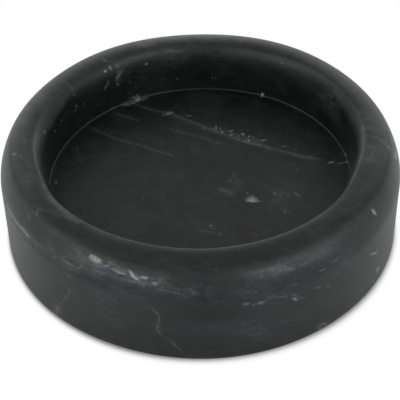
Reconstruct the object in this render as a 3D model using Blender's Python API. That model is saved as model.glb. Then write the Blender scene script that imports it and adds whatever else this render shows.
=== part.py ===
"""Round catch-all turned from one block of black marble, on four self-adhesive felt pads.

Metres, +Z up. The origin is on the dish's axis, on the surface that it stands on.
"""

import math

import bmesh
import bpy

# ---------------------------------------------------------------- dimensions
# The stone. Heights are above the stone's own underside.
STONE_RADIUS = 0.0890  # outside, at the foot of the wall: a 7 in dish
WALL_TOP = 0.0327  # where the straight outside wall starts to round over
# The rim's section, hand-eased: (degrees that the surface has turned through, radius of
# curvature there). 0 is the outside wall, 90 the crest, 48.9 mm above the underside, and
# 176 the bowl's slightly drafted wall.
RIM_TURN = (
    (0, 0.0045),
    (10, 0.0250),
    (20, 0.0350),
    (30, 0.0230),
    (52, 0.0030),
    (76, 0.0140),
    (90, 0.0240),
    (104, 0.0028),
    (116, 0.0010),
    (128, 0.0012),
    (144, 0.0054),
    (160, 0.0200),
    (180, 0.0540),
)
BOWL_RADIUS = 0.0688  # bowl's wall at the level of its floor
FLOOR_HEIGHT = 0.0246  # thickness of stone under the bowl
FLOOR_FILLET = 0.0008  # the turning tool's radius between floor and wall
FOOT_EASE = 0.0016  # rounded lower edge

# The pads, stuck under the stone.
PAD_RADIUS = 0.0080
PAD_THICKNESS = 0.0012
PAD_EASE = 0.00015  # the punch's slight round on the lower edge
PAD_CIRCLE = 0.0620  # radius of the circle that the pads stand on
ADHESIVE = 0.0003  # film of adhesive between pad and stone, left as a gap
PAD_PLACES = {
    "pad_front_left": 225.0,
    "pad_front_right": 315.0,
    "pad_rear_right": 45.0,
    "pad_rear_left": 135.0,
}

# How finely the turned shapes are cut.
DISH_SEGMENTS = 96
PAD_SEGMENTS = 32
RIM_STOPS = (8, 13, 18, 23, 28, 34, 41, 50, 60, 70, 78, 84, 90, 98, 112, 130, 143, 150, 156, 163, 170, 176)  # degrees turned
FILLET_STEPS = 4
FOOT_STEPS = 3


# ---------------------------------------------------------------- materials
def material(name, colour, roughness, specular=0.5, sheen=0.0):
    m = bpy.data.materials.new(name)
    m.use_nodes = True
    shader = m.node_tree.nodes["Principled BSDF"]
    shader.inputs["Base Color"].default_value = (*colour, 1.0)
    shader.inputs["Roughness"].default_value = roughness
    shader.inputs["Metallic"].default_value = 0.0
    shader.inputs["Specular IOR Level"].default_value = specular
    shader.inputs["Sheen Weight"].default_value = sheen
    return m


# ---------------------------------------------------------------- profiles
def curvature_radius(degrees):
    """Radius of curvature between the listed stops, even in its logarithm."""
    for (a0, r0), (a1, r1) in zip(RIM_TURN, RIM_TURN[1:]):
        if degrees <= a1:
            t = (degrees - a0) / (a1 - a0)
            return math.exp(math.log(r0) * (1.0 - t) + math.log(r1) * t)
    return RIM_TURN[-1][1]


def rim_points():
    """(radius, height) at each of RIM_STOPS, summed along the rim's section in quarter degrees."""
    r, z, points = STONE_RADIUS, WALL_TOP, []
    for i in range(RIM_STOPS[-1] * 4):
        middle = (i + 0.5) / 4.0
        reach = curvature_radius(middle) * math.radians(0.25)
        r -= reach * math.sin(math.radians(middle))
        z += reach * math.cos(math.radians(middle))
        if (i + 1) % 4 == 0 and (i + 1) // 4 in RIM_STOPS:
            points.append((r, z))
    return points


def dish_profile():
    """(radius, height) points from the middle of the underside, out and up over the rim, to the middle of the bowl's floor."""
    points = [(0.0, 0.0)]
    # underside and its rounded edge
    for i in range(FOOT_STEPS + 1):
        a = 0.5 * math.pi * i / FOOT_STEPS
        points.append((STONE_RADIUS - FOOT_EASE * (1.0 - math.sin(a)), FOOT_EASE * (1.0 - math.cos(a))))
    # straight wall, then the rim over its crest and down into the mouth of the bowl
    points.append((STONE_RADIUS, WALL_TOP))
    points += rim_points()
    mouth_radius, mouth_height = points[-1]
    # the drafted wall, and the fillet where it meets the floor
    draft = math.atan2(mouth_radius - BOWL_RADIUS, mouth_height - FLOOR_HEIGHT)
    turn = 0.5 * math.pi - draft  # the angle that the fillet turns through
    centre_z = FLOOR_HEIGHT + FLOOR_FILLET
    # the fillet's centre lies one fillet radius in from the drafted wall
    centre_r = BOWL_RADIUS + FLOOR_FILLET * math.tan(draft) - FLOOR_FILLET / math.cos(draft)
    for i in range(FILLET_STEPS + 1):
        a = -draft - turn * i / FILLET_STEPS
        points.append((centre_r + FLOOR_FILLET * math.cos(a), centre_z + FLOOR_FILLET * math.sin(a)))
    points.append((0.0, FLOOR_HEIGHT))
    return points


def pad_profile():
    return [
        (0.0, 0.0),
        (PAD_RADIUS - PAD_EASE, 0.0),
        (PAD_RADIUS, PAD_EASE),
        (PAD_RADIUS, PAD_THICKNESS),
        (0.0, PAD_THICKNESS),
    ]


# ---------------------------------------------------------------- making
def turned(name, profile, segments, base_z):
    """A closed solid of revolution about Z, from a profile whose two ends are on the axis."""
    bm = bmesh.new()
    ring = [bm.verts.new((r, 0.0, base_z + z)) for r, z in profile]
    edges = [bm.edges.new((a, b)) for a, b in zip(ring, ring[1:])]
    bmesh.ops.spin(
        bm,
        geom=ring + edges,
        cent=(0.0, 0.0, 0.0),
        axis=(0.0, 0.0, 1.0),
        angle=2.0 * math.pi,
        steps=segments,
        use_merge=True,
    )
    bmesh.ops.remove_doubles(bm, verts=bm.verts, dist=1e-6)
    bmesh.ops.recalc_face_normals(bm, faces=bm.faces)
    mesh = bpy.data.meshes.new(name)
    bm.to_mesh(mesh)
    bm.free()
    mesh.shade_smooth()
    mesh.set_sharp_from_angle(angle=math.radians(35.0))
    return mesh


def place(name, mesh, mat, parent, location=(0.0, 0.0, 0.0)):
    obj = bpy.data.objects.new(name, mesh)
    obj.data.materials.append(mat)
    obj.location = location
    obj.parent = parent
    bpy.context.scene.collection.objects.link(obj)
    return obj


def main():
    for obj in list(bpy.data.objects):
        bpy.data.objects.remove(obj, do_unlink=True)

    marble = material("black_marble", (0.030, 0.032, 0.031), 0.42)
    felt = material("charcoal_felt", (0.045, 0.045, 0.048), 0.95, specular=0.2, sheen=0.4)

    root = bpy.data.objects.new("catch_all", None)
    bpy.context.scene.collection.objects.link(root)

    stone_base = PAD_THICKNESS + ADHESIVE
    dish = turned("marble_dish", dish_profile(), DISH_SEGMENTS, stone_base)
    place("marble_dish", dish, marble, root)

    for name, degrees in PAD_PLACES.items():
        a = math.radians(degrees)
        pad = turned(name, pad_profile(), PAD_SEGMENTS, 0.0)
        place(name, pad, felt, root, (PAD_CIRCLE * math.cos(a), PAD_CIRCLE * math.sin(a), 0.0))


main()
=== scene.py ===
"""Looks for the marble catch-all: the turned stone with its veins, the felt pads under it, a pale floor, soft light and a camera."""

import math

import bpy
import numpy as np
from mathutils import Matrix, Vector


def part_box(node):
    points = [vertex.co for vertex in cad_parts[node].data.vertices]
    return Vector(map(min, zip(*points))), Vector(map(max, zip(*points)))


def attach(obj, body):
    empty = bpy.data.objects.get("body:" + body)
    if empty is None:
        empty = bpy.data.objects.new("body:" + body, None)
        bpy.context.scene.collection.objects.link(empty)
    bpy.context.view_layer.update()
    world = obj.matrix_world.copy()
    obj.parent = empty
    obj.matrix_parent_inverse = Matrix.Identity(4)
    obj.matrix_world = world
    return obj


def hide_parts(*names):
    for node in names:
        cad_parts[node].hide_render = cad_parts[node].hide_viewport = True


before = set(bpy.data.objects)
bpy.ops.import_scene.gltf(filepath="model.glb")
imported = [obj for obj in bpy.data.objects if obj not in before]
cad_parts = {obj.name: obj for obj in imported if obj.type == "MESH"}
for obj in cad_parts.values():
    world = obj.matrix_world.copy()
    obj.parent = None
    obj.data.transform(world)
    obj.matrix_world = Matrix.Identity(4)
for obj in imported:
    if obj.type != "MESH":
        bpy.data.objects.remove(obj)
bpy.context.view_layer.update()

MM = 0.001

# ---------------------------------------------------------------- sizes, in millimetres
dish_lo, dish_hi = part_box("marble_dish")
BASE = dish_lo.z / MM  # the stone's underside
RADIUS = dish_hi.x / MM
EASE = 1.6
WALL_TOP = 32.66
# The rim's section, from the outside wall over the crest and down into the bowl:
# (degrees that the surface has turned through, radius of curvature there).
TURN = (
    (0, 3.9), (4, 10.7), (10, 24.8), (18, 34.5), (28, 28.9), (40, 6.6), (52, 3.3), (64, 5.3),
    (76, 16.2), (84, 23.8), (90, 17.5), (96, 9.4), (104, 4.2), (112, 1.6), (120, 1.0), (128, 1.2),
    (136, 2.2), (144, 5.4), (152, 13.4), (160, 21.2), (168, 30.2), (174, 40.0), (180, 52.8),
)  # fmt: skip
# The mouth was eased further by hand at the two sides.
TURN_SIDES = TURN[:8] + (
    (76, 16.4), (84, 26.0), (90, 14.0), (96, 8.2), (104, 4.5), (112, 2.1), (120, 1.7), (128, 3.6),
    (136, 15.7), (144, 17.8), (152, 9.3), (160, 4.1), (168, 2.1), (174, 1.6), (180, 1.4),
)  # fmt: skip
# At the left rear it was left sharper.
TURN_REAR = TURN[:12] + (
    (104, 3.6), (112, 1.2), (120, 0.7), (128, 0.6), (136, 0.8), (144, 1.8), (152, 7.0),
    (160, 20.0), (168, 34.0), (174, 44.0), (180, 56.0),
)  # fmt: skip
# At the front it was eased a little more.
TURN_FRONT = TURN[:8] + (
    (76, 15.2), (84, 18.5), (90, 14.2), (96, 11.5), (104, 6.6), (110, 1.8), (114, 0.8), (120, 0.6), (128, 0.9), (136, 2.0),
) + TURN[17:]  # fmt: skip
TURN_END = 176.0
BOWL_R, FLOOR_Z = 68.8, 24.6
FILLET = 0.8
AROUND = 576


# ---------------------------------------------------------------- the turned profile
def rim_curve(turn):
    """(radius, height, degrees turned) finely along the rim's section."""
    g = np.radians(np.arange(0, TURN_END + 0.01, 0.25))
    knots = np.array(turn)
    rho = np.exp(np.interp(np.degrees(g), knots[:, 0], np.log(knots[:, 1])))
    step = np.diff(g)
    r = RADIUS - np.concatenate([[0], np.cumsum(0.5 * (rho[1:] * np.sin(g[1:]) + rho[:-1] * np.sin(g[:-1])) * step)])
    z = WALL_TOP + np.concatenate([[0], np.cumsum(0.5 * (rho[1:] * np.cos(g[1:]) + rho[:-1] * np.cos(g[:-1])) * step)])
    return r, z, np.degrees(g)


def smooth(t):
    t = np.clip(t, 0.0, 1.0)
    return t * t * (3 - 2 * t)


def bowl_wall(r, z):
    """The drafted wall from (r, z) to its fillet: (centre radius, centre height, draft, end radius, end height)."""
    draft = math.atan2(r - BOWL_R, z - FLOOR_Z)
    cr = BOWL_R + FILLET * math.tan(draft) - FILLET / math.cos(draft)
    cz = FLOOR_Z + FILLET
    return cr, cz, draft, cr + FILLET * math.cos(draft), cz - FILLET * math.sin(draft)


def profile():
    """Rows down the line that the lathe cut, from the underside's middle to the floor's middle: (radius, height,
    both at the sides, at the left rear and at the front, share of the outer out-of-round, degrees turned, zone)."""
    rows = []
    for r in (6, 12, 20, 28, 38, 48, 56, 64, 72, 78, 82, 85, RADIUS - EASE - 0.5):
        rows.append((*(r, 0.0) * 4, 1.0, -90.0, "base"))
    for i in range(6):
        a = 0.5 * math.pi * i / 5
        r, z = RADIUS - EASE + EASE * math.sin(a), EASE - EASE * math.cos(a)
        rows.append((*(r, z) * 4, 1.0, -90 + 18.0 * i, "foot"))
    n = 26
    for i in range(1, n + 1):
        z = EASE + (WALL_TOP - EASE) * i / n
        rows.append((*(RADIUS, z) * 4, 1.0, 0.0, "wall"))
    # the rim: a row for each millimetre, or for each 5 degrees where it turns fast
    r, z, g = rim_curve(TURN)
    rs, zs, _ = rim_curve(TURN_SIDES)
    rl, zl, _ = rim_curve(TURN_REAR)
    rf, zf, _ = rim_curve(TURN_FRONT)
    step = np.maximum(np.hypot(np.diff(r), np.diff(z)) / 1.0, np.diff(g) / 5.0)
    step = np.maximum(step, np.hypot(np.diff(rs), np.diff(zs)) / 1.2)
    cost = np.concatenate([[0], np.cumsum(step)])
    n = int(round(cost[-1]))
    at = np.linspace(0, cost[-1], n + 1)[1:]
    for values in zip(*(np.interp(at, cost, v) for v in (r, z, rs, zs, rl, zl, rf, zf, g))):
        rows.append((*values[:8], 1.0 - float(smooth((values[8] - 90.0) / 90.0)), values[8], "rim"))
    # bowl wall, its fillet, and the floor
    top = rows[-1]
    walls = [bowl_wall(*top[k : k + 2]) for k in (0, 2, 4, 6)]
    n = 9
    for i in range(1, n):
        t = i / n
        ends = zip(top[:8], (v for wall in walls for v in wall[3:5]))
        rows.append((*(p + (q - p) * t for p, q in ends), top[8] * (1 - t), 180 - math.degrees(walls[0][2]), "bowl"))
    n = 8
    for i in range(n + 1):
        values = []
        for cr, cz, draft, _, _ in walls:
            a = -draft - (0.5 * math.pi - draft) * i / n
            values += [cr + FILLET * math.cos(a), cz + FILLET * math.sin(a)]
        rows.append((*values, 0.0, 180 + math.degrees(a), "fillet"))
    r = 65.6
    while r > 2.5:
        rows.append((*(r, FLOOR_Z) * 4, 0.0, 90.0, "floor"))
        r -= 1.3 if r > 20 else 1.6
    return rows


ROWS = profile()
# distance along the section, zero where the straight wall starts above the foot
TABLE = np.array([row[:10] for row in ROWS])
FOOT_ROW = [i for i, row in enumerate(ROWS) if row[10] == "foot"][-1]
LINE_S = np.concatenate([[0], np.cumsum(np.hypot(*np.diff(TABLE[:, :2], axis=0).T))])
LINE_S = LINE_S - LINE_S[FOOT_ROW]

# Hand-finished stone isn't quite round: (cosine, sine) for one, two, three ... lobes.
OUT_OF_ROUND = (
    (-0.00011, 0.00268), (-0.00018, -0.00154), (-0.00085, 0.00074), (0.00027, -0.00042),
    (0.00083, -0.00195), (0.00159, -0.00076), (-0.00039, 0.00159), (-0.00019, -0.0003),
)  # fmt: skip


def around(r):
    """How many points a ring has: fewer on the flats as they get small."""
    for limit, n in ((36.0, AROUND), (18.0, AROUND // 2), (9.0, AROUND // 4), (4.5, AROUND // 8)):
        if r >= limit:
            return n
    return AROUND // 16


def outer_round(a):
    return 1.0028 + sum(p * np.cos((m + 1) * a) + q * np.sin((m + 1) * a) for m, (p, q) in enumerate(OUT_OF_ROUND))


def inner_round(a):
    return 1 + 0.0109 * np.cos(2 * (a - 0.7558))


def bump(a, degrees, width):
    """One at an azimuth in degrees, and falling off on both sides of it."""
    away = (np.degrees(a) - degrees + 180.0) % 360.0 - 180.0
    return np.exp(-((away / width) ** 2))


def at_azimuth(row, a):
    """Radius and height of a row of the table at azimuths a."""
    r, z, rs, zs, rl, zl, rf, zf, share = row[:9]
    side, rear = smooth((np.abs(np.cos(a)) - 0.80) / 0.175), bump(a, 110.0, 16.0) + 0.35 * bump(a, 70.0, 18.0)
    front = smooth(0.5 - 1.6 * np.sin(a)) * (1 - side)
    k = share * outer_round(a) + (1 - share) * inner_round(a)
    # less stone was taken off inside the mouth at the right
    spare = 4 * share * (1 - share) * (1.15 * bump(a, -20.0, 17.0) + 0.35 * bump(a, 199.0, 11.0))
    r, z = r + (rs - r) * side + (rl - r) * rear + (rf - r) * front, z + (zs - z) * side + (zl - z) * rear + (zf - z) * front
    return r * k - spare, z


def on_section(azimuth, s):
    """The point, and the outward direction there, at an azimuth in degrees and a distance s along the section."""
    row = [np.interp(s, LINE_S, TABLE[:, k]) for k in range(10)]
    a, t = math.radians(azimuth), math.radians(row[9])
    r, z = at_azimuth(row, a)
    return np.array([r * math.cos(a), r * math.sin(a), z + BASE]), np.array([math.cos(t) * math.cos(a), math.cos(t) * math.sin(a), math.sin(t)])


# ---------------------------------------------------------------- the stone's mesh
# Where each part lies on the map for baked textures, in millimetres of stone: a square of MAP_SIDE.
MAP_SIDE = 306.0
STRIP_W, STRIP_H = RADIUS * math.pi / 2, LINE_S[[i for i, row in enumerate(ROWS) if row[10] == "fillet"][-1]] + 3.0
STRIPS = [(2.0 + (STRIP_W + 4.0) * (k % 2), 2.0 + (STRIP_H + 3.0) * (k // 2)) for k in range(4)]
FLOOR_AT = (70.0, MAP_SIDE - 68.5)
BASE_AT, BASE_SCALE = (MAP_SIDE - 60.0, MAP_SIDE - 60.0), 0.62


def build_dish():
    rings, verts = [], []
    for row in ROWS:
        n = around(row[0]) if row[10] in ("base", "floor") else AROUND
        a = np.arange(n) * (2 * math.pi / n)
        r, z = at_azimuth(row, a)
        if row[10] == "fillet":
            # the turning tool's fillet was rubbed down more at the rear
            small = 1.0 - 0.45 * bump(a, 85.0, 15.0)
            r, z = BOWL_R * inner_round(a) * (1 - small) + r * small, FLOOR_Z * (1 - small) + z * small
        rings.append((sum(len(v) for v in verts), n))
        verts.append(np.stack([r * np.cos(a), r * np.sin(a), z + BASE], -1))
    co = np.concatenate(verts)
    faces, maps = [], []

    def flat(f, zone):
        cx, cy, sc = (*FLOOR_AT, 1.0) if zone == "floor" else (*BASE_AT, BASE_SCALE)
        faces.append(f)
        maps.append([(cx + co[i, 0] * sc, cy + co[i, 1] * sc) for i in f])

    s, n = rings[0]
    flat(tuple(s + i for i in reversed(range(n))), "base")
    for row in range(len(ROWS) - 1):
        (s0, n0), (s1, n1) = rings[row], rings[row + 1]
        zone = ROWS[row + 1][10]
        if zone in ("base", "floor") or ROWS[row][10] == "base":
            zone = "floor" if zone == "floor" else "base"
            if n0 == n1:
                for i in range(n0):
                    j = (i + 1) % n0
                    flat((s0 + i, s0 + j, s1 + j, s1 + i), zone)
            elif n0 > n1:
                m = n0 // n1
                for i in range(n1):
                    j = (i + 1) % n1
                    b = [s0 + (m * i + k) % n0 for k in range(m + 1)]
                    h = m // 2
                    for k in range(m):
                        flat((b[k], b[k + 1], s1 + (i if k < h else j)), zone)
                    flat((b[h], s1 + j, s1 + i), zone)
            else:
                m = n1 // n0
                for i in range(n0):
                    j = (i + 1) % n0
                    t = [s1 + (m * i + k) % n1 for k in range(m + 1)]
                    h = m // 2
                    for k in range(m):
                        flat((s0 + (i if k < h else j), t[k + 1], t[k]), zone)
                    flat((s0 + i, s0 + j, t[h]), zone)
            continue
        quarter = AROUND // 4
        v0, v1 = LINE_S[row] + 2.6, LINE_S[row + 1] + 2.6
        for i in range(AROUND):
            j = (i + 1) % AROUND
            ox, oy = STRIPS[i // quarter]
            u0 = ox + (i % quarter) / quarter * STRIP_W
            u1 = ox + (i % quarter + 1) / quarter * STRIP_W
            faces.append((s0 + i, s0 + j, s1 + j, s1 + i))
            maps.append([(u0, oy + v0), (u1, oy + v0), (u1, oy + v1), (u0, oy + v1)])
    s, n = rings[-1]
    flat(tuple(s + i for i in range(n)), "floor")
    mesh = bpy.data.meshes.new("turned_marble")
    mesh.from_pydata((co * MM).tolist(), [], faces)
    layer = mesh.uv_layers.new(name="OFBake")
    flat_uv = np.array([p for m in maps for p in m]) / MAP_SIDE
    layer.data.foreach_set("uv", flat_uv.ravel())
    mesh.update()
    mesh.shade_smooth()
    obj = bpy.data.objects.new("turned_marble", mesh)
    bpy.context.scene.collection.objects.link(obj)
    return obj, co


dish, CO = build_dish()
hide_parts("marble_dish")
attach(dish, "root")

# ---------------------------------------------------------------- the marks in the stone, with painted highlights and painted shade on the rim
# w white, c cream, y yellowish, b blue-grey, l lilac, g greenish
TINTS = {
    "w": (1.0, 1.0, 0.99),
    "c": (1.0, 1.0, 0.92),
    "y": (0.99, 1.0, 0.86),
    "b": (0.86, 0.97, 1.08),
    "l": (0.97, 0.955, 1.09),
    "g": (0.92, 1.02, 0.97),
    "v": (0.64, 0.48, 1.09),
}
# MARKS BEGIN
SPECKS = (
    ("S", 129.0, 61.5, 0.67, 0.57, 151, 0.22, "c"),
    ("S", 126.4, 61.2, 1.14, 0.47, 104, 0.11, "c"),
    ("S", 123.8, 66.9, 1.54, 0.88, -155, 0.082, "b"),
    ("S", 122.4, 65.3, 0.52, 0.43, 136, 0.069, "b"),
    ("S", 123.8, 63.5, 0.45, 0.38, 142, 0.0015, "l"),
    ("S", 124.5, 70.7, 0.84, 0.51, 148, 0.079, "b"),
    ("S", 130.4, 69.0, 1.46, 0.49, -134, 0.071, "g"),
    ("S", 129.1, 67.7, 1.24, 0.44, -132, 0.067, "g"),
    ("S", 118.9, 72.3, 0.77, 0.58, 122, 0.035, "l"),
    ("S", 119.6, 78.0, 0.65, 0.49, 122, 0.038, "l"),
    ("S", 118.4, 76.8, 0.65, 0.49, 121, 0.016, "l"),
    ("S", 122.9, 61.4, 0.49, 0.43, 150, 0.028, "l"),
    ("S", 111.0, 66.2, 0.63, 0.56, 124, 0.12, "w"),
    ("S", 105.0, 75.0, 0.42, 0.34, 108, 0.055, "w"),
    ("S", 103.9, 75.8, 0.42, 0.34, 107, 0.046, "w"),
    ("S", 98.8, 76.2, 0.48, 0.39, 101, 0.066, "w"),
    ("S", 84.5, 76.1, 0.47, 0.39, 83, 0.089, "w"),
    ("S", 83.0, 76.2, 0.42, 0.35, 81, 0.086, "w"),
    ("S", 74.4, 53.3, 1.01, 0.49, 103, 0.061, "w"),
    ("S", 55.8, 61.7, 0.8, 0.38, -151, 0.065, "c"),
    ("S", 63.2, 81.6, 0.75, 0.59, 59, 0.37, "c"),
    ("S", 65.0, 81.5, 0.43, 0.34, 60, 0.068, "y"),
    ("S", 23.2, 52.5, 1.31, 0.69, 145, 0.034, "w"),
    ("S", 172.9, 58.8, 1.12, 0.58, 155, 0.08, "w"),
    ("S", 164.9, 73.4, 1.37, 0.46, 141, 0.044, "w"),
    ("S", 165.8, 73.8, 1.1, 0.37, 141, 0.0012, "w"),
    ("S", 147.5, 69.0, 0.97, 0.56, 140, 0.06, "w"),
    ("S", 146.8, 62.7, 0.68, 0.47, 149, 0.057, "w"),
    ("S", 135.1, 75.9, 0.75, 0.48, 132, 0.034, "w"),
    ("S", 142.8, 70.5, 0.62, 0.38, 138, 0.042, "w"),
    ("S", 158.9, 72.3, 0.91, 0.37, 140, 0.05, "w"),
    ("S", 148.9, 71.6, 1.71, 0.43, 168, 0.04, "w"),
    ("F", -57.3, 23.2, 0.84, 0.51, 97, 0.034, "w"),
    ("F", -65.5, -2.0, 1.0, 0.63, 98, 0.068, "w"),
    ("F", -25.9, -13.9, 0.69, 0.45, 94, 0.037, "w"),
    ("S", -172.6, 48.9, 1.21, 0.73, -148, 0.071, "w"),
    ("S", -175.7, 47.6, 0.91, 0.44, -154, 0.00094, "w"),
    ("S", -170.4, 51.8, 0.86, 0.52, -173, 0.034, "w"),
    ("F", -30.1, 60.3, 1.34, 0.79, -131, 0.18, "w"),
    ("F", -32.7, 58.1, 1.26, 0.66, -169, 0.091, "w"),
    ("S", 118.0, 80.9, 0.95, 0.4, 163, 0.17, "w"),
    ("F", -14.5, 48.9, 1.75, 0.85, -153, 0.13, "w"),
    ("F", -17.3, 47.6, 0.65, 0.39, 92, 0.081, "w"),
    ("F", -4.9, 46.7, 1.6, 0.55, 164, 0.065, "w"),
    ("F", 1.9, 36.7, 0.87, 0.52, 90, 0.085, "w"),
    ("F", 7.9, 36.8, 1.58, 0.29, -91, 0.12, "y"),
    ("F", 9.9, 36.0, 0.63, 0.38, 89, 0.099, "y"),
    ("F", 10.8, 33.1, 0.86, 0.52, 89, 0.13, "w"),
    ("F", 15.1, 34.0, 1.25, 0.53, -165, 0.1, "w"),
    ("F", 15.0, 31.1, 0.95, 0.64, -143, 0.11, "w"),
    ("F", 20.5, 31.3, 0.89, 0.73, 110, 0.15, "y"),
    ("F", 23.5, 29.5, 0.62, 0.38, 87, 0.19, "y"),
    ("F", 25.5, 28.7, 0.54, 0.33, 87, 0.097, "y"),
    ("F", 23.1, 26.2, 0.84, 0.52, 87, 0.17, "w"),
    ("F", 21.3, 25.4, 0.54, 0.33, 87, 0.15, "w"),
    ("F", 24.5, 23.7, 0.69, 0.42, 87, 0.059, "w"),
    ("F", 30.0, 26.4, 1.28, 0.52, -163, 0.13, "y"),
    ("F", 39.6, 21.4, 1.45, 0.53, 179, 0.061, "w"),
    ("F", 44.9, 19.2, 0.68, 0.42, 85, 0.038, "w"),
    ("F", 50.5, 13.4, 0.6, 0.37, 84, 0.068, "w"),
    ("F", 60.3, 8.8, 1.5, 0.56, -162, 0.14, "y"),
    ("F", 67.3, 8.9, 0.65, 0.42, -161, 0.17, "y"),
    ("S", 11.2, 81.8, 1.48, 0.52, -119, 0.028, "w"),
    ("F", 22.8, -16.5, 2.12, 1.57, 167, 0.19, "w"),
    ("F", 23.1, -17.5, 2.62, 0.61, 177, 0.2, "w"),
    ("F", 23.0, -14.8, 1.01, 0.68, -171, 0.11, "w"),
    ("F", 21.0, -12.1, 0.62, 0.4, 87, 0.076, "w"),
    ("F", 23.2, -13.0, 0.69, 0.45, 87, 0.034, "w"),
    ("F", 11.6, -9.2, 1.12, 0.72, 88, 0.024, "w"),
    ("F", 13.7, -12.1, 0.9, 0.58, 88, 0.018, "w"),
    ("F", 10.3, -10.2, 0.7, 0.45, 89, 0.034, "w"),
    ("F", 15.6, 0.7, 1.07, 0.68, 88, 0.035, "w"),
    ("F", 13.6, -3.1, 0.85, 0.54, 88, 0.035, "w"),
    ("F", 16.4, -3.4, 0.78, 0.5, 88, 0.034, "w"),
    ("F", 33.1, -12.5, 1.04, 0.67, 86, 0.066, "w"),
    ("F", 43.1, -13.6, 2.06, 0.7, 128, 0.054, "w"),
    ("F", 29.7, -7.6, 0.77, 0.49, 86, 0.031, "w"),
    ("F", 35.9, -13.0, 0.62, 0.4, 85, 0.041, "w"),
    ("F", 38.7, -14.5, 0.62, 0.4, 85, 0.028, "w"),
    ("F", 37.2, -17.2, 0.62, 0.4, 85, 0.033, "w"),
    ("F", 36.9, -25.6, 0.94, 0.61, 85, 0.05, "w"),
    ("F", 38.6, -25.9, 0.67, 0.44, 85, 0.027, "w"),
    ("F", 35.2, -24.6, 0.6, 0.39, 85, 0.0071, "w"),
    ("F", 4.2, -33.4, 0.75, 0.5, 89, 0.13, "w"),
    ("F", 5.6, -35.1, 0.58, 0.39, 89, 0.053, "w"),
    ("F", 8.2, -39.1, 0.71, 0.47, 89, 0.048, "w"),
    ("F", 18.9, -34.9, 0.78, 0.52, 87, 0.022, "w"),
    ("F", 1.1, 6.4, 0.8, 0.5, 90, 0.029, "w"),
    ("F", 44.2, 3.7, 0.65, 0.41, 84, 0.047, "w"),
    ("S", -120.5, 43.2, 1.84, 1.09, -171, 0.12, "c"),
    ("S", -119.4, 42.8, 2.01, 1.06, -177, 0.21, "c"),
    ("S", -121.2, 43.7, 0.76, 0.64, -146, 0.18, "c"),
    ("S", -116.2, 42.0, 1.53, 0.44, -156, 0.11, "b"),
    ("S", -113.6, 41.3, 1.88, 0.53, 170, 0.089, "b"),
    ("S", -111.9, 40.7, 1.8, 0.51, -178, 0.13, "b"),
    ("S", -115.4, 43.5, 1.36, 0.43, 172, 0.057, "b"),
    ("S", -108.9, 41.6, 1.42, 0.66, 132, 0.21, "w"),
    ("S", -107.8, 40.2, 1.6, 0.57, 164, 0.23, "w"),
    ("S", -105.4, 41.0, 1.68, 0.52, -175, 0.19, "w"),
    ("S", -104.2, 40.7, 0.35, 0.32, 59, 0.0028, "w"),
    ("S", -102.5, 39.3, 1.28, 0.61, 172, 0.12, "b"),
    ("S", -101.5, 38.4, 0.44, 0.39, 67, 0.0029, "g"),
    ("S", -125.0, 43.1, 0.6, 0.48, -146, 0.044, "w"),
    ("S", -130.2, 36.2, 0.93, 0.61, -137, 0.031, "w"),
    ("S", -124.0, 37.2, 1.73, 0.4, -130, 0.059, "w"),
    ("S", -78.8, 29.4, 1.31, 0.62, 174, 0.08, "w"),
    ("S", -75.0, 28.5, 1.75, 0.7, -179, 0.079, "b"),
    ("S", -78.0, 35.0, 0.52, 0.43, 109, 0.04, "g"),
    ("S", -76.4, 35.0, 1.04, 0.45, 166, 0.037, "g"),
    ("S", -71.9, 30.5, 1.38, 0.6, -172, 0.032, "l"),
    ("S", -68.8, 28.7, 0.82, 0.52, 114, 0.041, "g"),
    ("S", -66.7, 26.1, 1.22, 0.64, -170, 0.0015, "w"),
    ("S", -65.2, 24.9, 1.45, 0.6, 138, 0.11, "w"),
    ("S", -65.5, 27.5, 1.33, 0.26, 136, 0.075, "w"),
    ("S", -63.2, 23.9, 0.81, 0.52, 158, 0.039, "w"),
    ("S", -65.8, 33.2, 1.72, 0.39, 171, 0.042, "w"),
    ("S", -56.9, 34.4, 1.53, 0.4, 172, 0.052, "w"),
    ("S", -51.8, 35.6, 1.93, 0.42, -166, 0.044, "w"),
    ("S", -58.0, 25.8, 1.2, 0.58, 150, 0.055, "w"),
    ("S", -54.4, 23.3, 1.43, 0.59, 152, 0.037, "w"),
    ("S", -52.0, 23.7, 0.74, 0.37, 127, 0.011, "w"),
    ("S", -51.6, 28.1, 0.66, 0.33, 127, 0.046, "w"),
    ("S", -46.6, 28.2, 0.93, 0.41, 130, 0.037, "w"),
    ("S", -48.1, 28.5, 0.71, 0.33, 129, 0.038, "w"),
    ("S", -34.8, 21.0, 3.99, 0.56, 146, 0.14, "w"),
    ("S", -32.9, 21.0, 0.89, 0.3, 135, 0.17, "w"),
    ("S", -31.0, 6.9, 1.44, 1.16, -167, 0.18, "w"),
    ("S", -33.6, 3.2, 1.04, 0.35, 134, 0.13, "w"),
    ("S", -40.1, 5.9, 0.83, 0.3, 132, 0.12, "w"),
    ("S", -33.1, 44.7, 0.93, 0.52, -90, 0.02, "w"),
    ("S", -33.4, 42.0, 1.59, 0.71, 113, 0.21, "w"),
    ("S", -32.9, 39.8, 0.65, 0.33, 145, 0.057, "w"),
    ("S", -79.6, 17.6, 0.72, 0.48, 102, 0.027, "g"),
    ("S", -77.5, 14.6, 0.67, 0.45, 104, 0.025, "g"),
    ("S", -75.2, 7.1, 0.63, 0.41, 107, 0.0054, "w"),
    ("S", -86.6, 21.0, 0.58, 0.4, 94, 0.011, "w"),
    ("S", -86.5, 32.3, 1.65, 0.42, -110, 0.014, "w"),
    ("S", -86.4, 46.1, 0.99, 0.39, -174, 0.021, "w"),
    ("S", -6.8, 48.0, 0.99, 0.52, -21, 0.07, "w"),
    ("S", -7.6, 47.0, 0.97, 0.43, 152, 0.078, "w"),
    ("S", -6.6, 41.7, 2.43, 1.16, 169, 0.17, "y"),
    ("S", -11.8, 54.8, 0.84, 0.51, 2, 0.043, "w"),
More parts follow.
